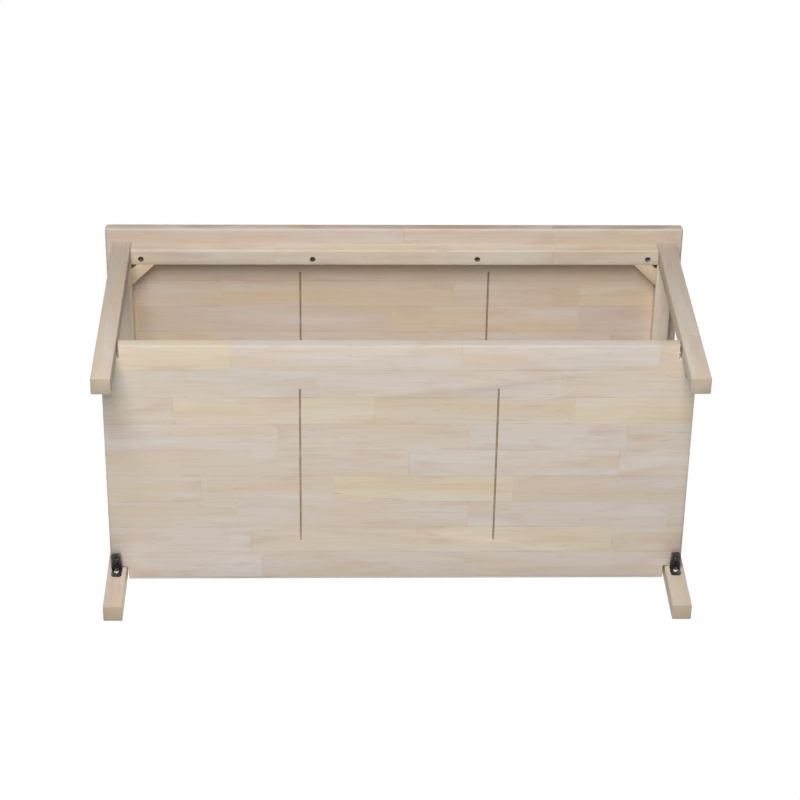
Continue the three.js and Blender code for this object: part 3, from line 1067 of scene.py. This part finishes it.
@dataclass
class ShelfBraces(SubAssembly):
    """The four small steel braces under the shelf, each with two screws."""

    width: float = 16 * MM
    leg_flange: float = 25 * MM
    shelf_flange: float = 30 * MM
    thickness: float = 2 * MM
    bend_radius: float = 1.5 * MM
    end_radius: float = 5 * MM
    leg_hole: float = 15 * MM
    shelf_hole: float = 19 * MM
    hole_radius: float = 2.05 * MM
    head_gap: float = 0.3 * MM
    edge: float = 0.3 * MM
    bend_steps: int = 8
    screw: ScrewShape = field(default_factory=lambda: ScrewShape(
        shank=3.5 * MM, length=15 * MM, head=7 * MM, head_height=2.2 * MM, tip=4 * MM))
    enamel: BlackEnamelledSteel = field(default_factory=BlackEnamelledSteel)
    plating: ZincPlatedSteel = field(default_factory=ZincPlatedSteel)

    def model_brace(self) -> Object:
        """Models the brace: a strip whose upright flange is bent over into a flat one.

        Returns:
            The brace, upright flange on y = 0 and flat flange on z = 0.
        """
        outer = self.bend_radius + self.thickness
        half = self.width / 2
        brace = add_box("brace_pattern", Vector((-half, 0, -self.leg_flange)),
                        Vector((half, self.thickness, -outer)))
        select_faces(brace, lambda face: face.normal.z > UPWARD)
        bpy.ops.mesh.spin(steps=self.bend_steps, angle=math.radians(-90),
                          center=(0, outer, -outer), axis=(1, 0, 0))
        bpy.ops.mesh.extrude_region_move(
            TRANSFORM_OT_translate={"value": (0, self.shelf_flange - outer, 0)})
        bpy.ops.mesh.select_all(action="SELECT")
        bpy.ops.mesh.remove_doubles(threshold=NEAR)
        bpy.ops.mesh.normals_make_consistent(inside=False)
        bpy.ops.object.mode_set(mode="OBJECT")
        bevel_edges(
            brace,
            lambda a, b: abs(a.x - b.x) < NEAR
            and (min(a.y, b.y) > self.shelf_flange - 10 * NEAR
                 or max(a.z, b.z) < 10 * NEAR - self.leg_flange)
            and (abs(a.y - b.y) > self.thickness / 2 or abs(a.z - b.z) > self.thickness / 2),
            self.end_radius, 8)
        down, across = Vector((0, 0, PAST)), Vector((0, PAST, 0))
        flat = Vector((0, self.shelf_hole, 0))
        upright = Vector((0, 0, -self.leg_hole))
        cut(brace,
            add_rod("hole", self.hole_radius, flat - down, flat + down, 32),
            add_rod("hole", self.hole_radius, upright - across, upright + across, 32))
        soften(brace, self.edge, angle=50.0)
        return brace

    def build(self) -> None:
        """Models one brace and one screw, and copies them to each corner."""
        brace = self.model_brace()
        screw = self.screw.model("brace_screw_pattern")
        proud = self.thickness + self.head_gap
        for corner in Corner:
            node = "shelf_brace_" + corner.label
            low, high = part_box(node)
            _, sy = corner.side
            root = Vector(((low.x + high.x) / 2, high.y if sy > 0 else low.y, high.z))
            turn = Matrix.Rotation(math.pi if sy > 0 else 0.0, 4, "Z")
            place = Matrix.Translation(root) @ turn
            self.keep(copy_of(brace, node + "_steel", place), "black_steel", node)
            flat = Matrix.Translation((0, self.shelf_hole, -proud))
            upright = Matrix.Translation((0, proud, -self.leg_hole))
            upright = upright @ Matrix.Rotation(math.pi / 2, 4, "X")
            for kind, where in (("shelf", flat), ("leg", upright)):
                name = f"brace_screw_{kind}_{corner.label}"
                self.keep(copy_of(screw, name + "_steel", place @ where), "screw_steel", name)
        for pattern in (brace, screw):
            bpy.data.objects.remove(pattern, do_unlink=True)

    def dress(self) -> None:
        """Gives the braces their enamel and the screws their plating."""
        enamel, plating = self.enamel.material(), self.plating.material()
        for piece, slot, _ in self.pieces:
            paint(piece, enamel if slot == "black_steel" else plating)


@dataclass
class Dowels(SubAssembly):
    """The dowels in the rail ends, which are the CAD solids with wood on them."""

    finish: Rubberwood | None = None
    nodes: list[str] = field(default_factory=list, init=False)

    def build(self) -> None:
        """Finds the dowels among the CAD nodes, whose shape is right as it is."""
        self.nodes = nodes_of("dowel_rail")

    def dress(self) -> None:
        """Gives each dowel its wood."""
        wood = self.finish.material()
        for name in self.nodes:
            for slot in bpy.data.objects[name].material_slots:
                slot.material = wood
            log.info("%s: CAD solid, dowel_wood", name)


@dataclass(frozen=True)
class Softbox:
    """A square soft light: which way it stands from the bench, how far, its side and watts."""

    name: str
    direction: tuple[float, float, float]
    distance: float
    size: float
    power: float
    colour: str = "FFFDFA"


@dataclass
class Studio:
    """The floor, the soft lights and the camera."""

    floor_size: float = 30.0
    floor_drop: float = 0.5 * MM
    target: tuple[float, float, float] = (0.006, -0.023, 0.255)
    distance: float = 3.85
    azimuth: float = -3.29
    elevation: float = -59.78
    roll: float = -2.88
    lens: float = 111.4
    sensor: float = 36.0
    finish: PaleFloorPaint = field(default_factory=PaleFloorPaint)
    softboxes: tuple[Softbox, ...] = (
        Softbox("front_softbox", (-0.10, -0.85, -0.50), 3.2, 1.4, 77.0),
        Softbox("low_front_softbox", (-0.10, -0.62, -0.78), 3.2, 1.3, 33.0),
        Softbox("low_rear_softbox", (0.0, 0.55, -0.83), 3.2, 1.8, 37.0),
        Softbox("top_softbox", (0.25, 0.30, 0.92), 3.0, 2.6, 66.0),
        Softbox("rear_softbox", (0.25, 0.86, 0.42), 3.4, 2.0, 42.0),
        Softbox("left_softbox", (-0.90, 0.06, 0.42), 3.4, 1.8, 36.0),
        Softbox("right_softbox", (0.90, 0.10, 0.42), 3.4, 1.8, 36.0),
    )

    def build(self) -> None:
        """Sets up the floor, the sky, the lights and the camera."""
        self.add_floor()
        self.add_sky()
        for softbox in self.softboxes:
            self.add_light(softbox)
        self.add_camera()

    def add_floor(self) -> None:
        """Adds a wide pale floor that holds back no light from below."""
        bpy.ops.object.select_all(action="DESELECT")
        bpy.ops.mesh.primitive_plane_add(size=self.floor_size, location=(0, 0, -self.floor_drop))
        floor = bpy.context.object
        floor.name = "floor"
        place_in_mesh(floor)
        paint(floor, self.finish.material())
        for ray in ("shadow", "diffuse", "glossy", "transmission"):
            setattr(floor, "visible_" + ray, False)

    def add_sky(self) -> None:
        """Sets an even white backdrop that shows and reflects; only the softboxes light."""
        world = bpy.data.worlds.new("studio")
        bpy.context.scene.world = world
        world.use_nodes = True
        world.node_tree.nodes.clear()
        backdrop = add_node(world.node_tree, "Background", {"Color": linear("FFFFFF")})
        add_node(world.node_tree, "OutputWorld", {"Surface": backdrop.outputs[0]})
        world.cycles_visibility.diffuse = False

    def add_light(self, softbox: Softbox) -> None:
        """Adds a square softbox that looks at the bench.

        Args:
            softbox: The softbox.
        """
        data = bpy.data.lights.new(softbox.name, "AREA")
        data.shape, data.size, data.energy = "SQUARE", softbox.size, softbox.power
        data.color = linear(softbox.colour)[:3]
        light = bpy.data.objects.new(softbox.name, data)
        bpy.context.collection.objects.link(light)
        back = Vector(softbox.direction).normalized()
        light.location = Vector(self.target) + back * softbox.distance
        light.rotation_mode = "QUATERNION"
        light.rotation_quaternion = (-back).to_track_quat("-Z", "Y")
        light.visible_camera = False

    def add_camera(self) -> None:
        """Adds the camera, below the front of the bench and looking up at its underside."""
        data = bpy.data.cameras.new("camera")
        data.lens, data.sensor_width = self.lens, self.sensor
        camera = bpy.data.objects.new("camera", data)
        bpy.context.collection.objects.link(camera)
        turn, tilt = math.radians(self.azimuth), math.radians(self.elevation)
        back = Vector((math.sin(turn) * math.cos(tilt), -math.cos(turn) * math.cos(tilt),
                       math.sin(tilt)))
        camera.location = Vector(self.target) + back * self.distance
        camera.rotation_mode = "QUATERNION"
        level = (-back).to_track_quat("-Z", "Y")
        camera.rotation_quaternion = level @ Quaternion((0, 0, 1), math.radians(self.roll))
        bpy.context.scene.camera = camera
        bpy.context.scene.view_settings.view_transform = "Standard"


SEAT_TONES = ("D7C6AF", "D3C2B1", "D2C4B8", "D6C7BC", "CFBFB2", "D4C7BF", "D2BFAA", "D8CDC5")
SHELF_TONES = ("D8CBB6", "D4C7B8", "D3C9C0", "D7CCC4", "D0C4B9", "D5CCC7", "D3C5B2", "D9D2CD")
LEG_TONES = ("CABFB0", "CCBFB0", "C9BDAF", "CFC4B8")
RAIL_TONES = ("D5CBBB", "D9CFC1", "D7CCBD", "DAD1C4")
BLOCK_TONES = ("D2C1A6", "D6C5AC")


def main() -> None:
    """Builds and dresses the bench, sets up the studio and notes the size."""
    logging.basicConfig(level=logging.INFO, format="%(name)s: %(message)s")
    seat = Board(finish=Rubberwood("rubberwood_seat", Grain.ALONG_X, SEAT_TONES, seed=1.0))
    shelf = ShelfBoard(
        node="shelf_board", slot="shelf_wood", ease=2 * MM, kerf_spacing=295 * MM,
        kerf_margin=72 * MM,
        finish=Rubberwood("rubberwood_shelf", Grain.ALONG_X, SHELF_TONES, seam_place=0.5,
                          seed=11.0))
    legs = LegSet(finish=Rubberwood(
        "rubberwood_legs", Grain.ALONG_Z, LEG_TONES, stave_width=200 * MM, seam_place=0.5,
        stave_length=420 * MM, seed=5.0))
    rails = RailFrame(finishes={
        grain: Rubberwood("rubberwood_rails_" + grain.name.lower(), grain, RAIL_TONES,
                          stave_width=300 * MM, seam_place=0.5, stave_length=380 * MM, seed=7.0)
        for grain in (Grain.ALONG_X, Grain.ALONG_Y)},
        block_finish=Rubberwood("rubberwood_blocks", Grain.ALONG_X, BLOCK_TONES,
                                stave_width=300 * MM, seam_place=0.5, seed=9.0))
    dowels = Dowels(finish=Rubberwood(
        "rubberwood_dowels", Grain.ALONG_X, RAIL_TONES, stave_width=900 * MM, seam_place=0.5,
        stave_length=900 * MM, streak_width=0.8 * MM, streak_length=18 * MM))
    for assembly in (seat, shelf, legs, rails, SeatScrews(), ShelfBraces(), dowels):
        assembly.build()
        assembly.dress()
        assembly.report()
    Studio().build()


if __name__ == "__main__":
    main()
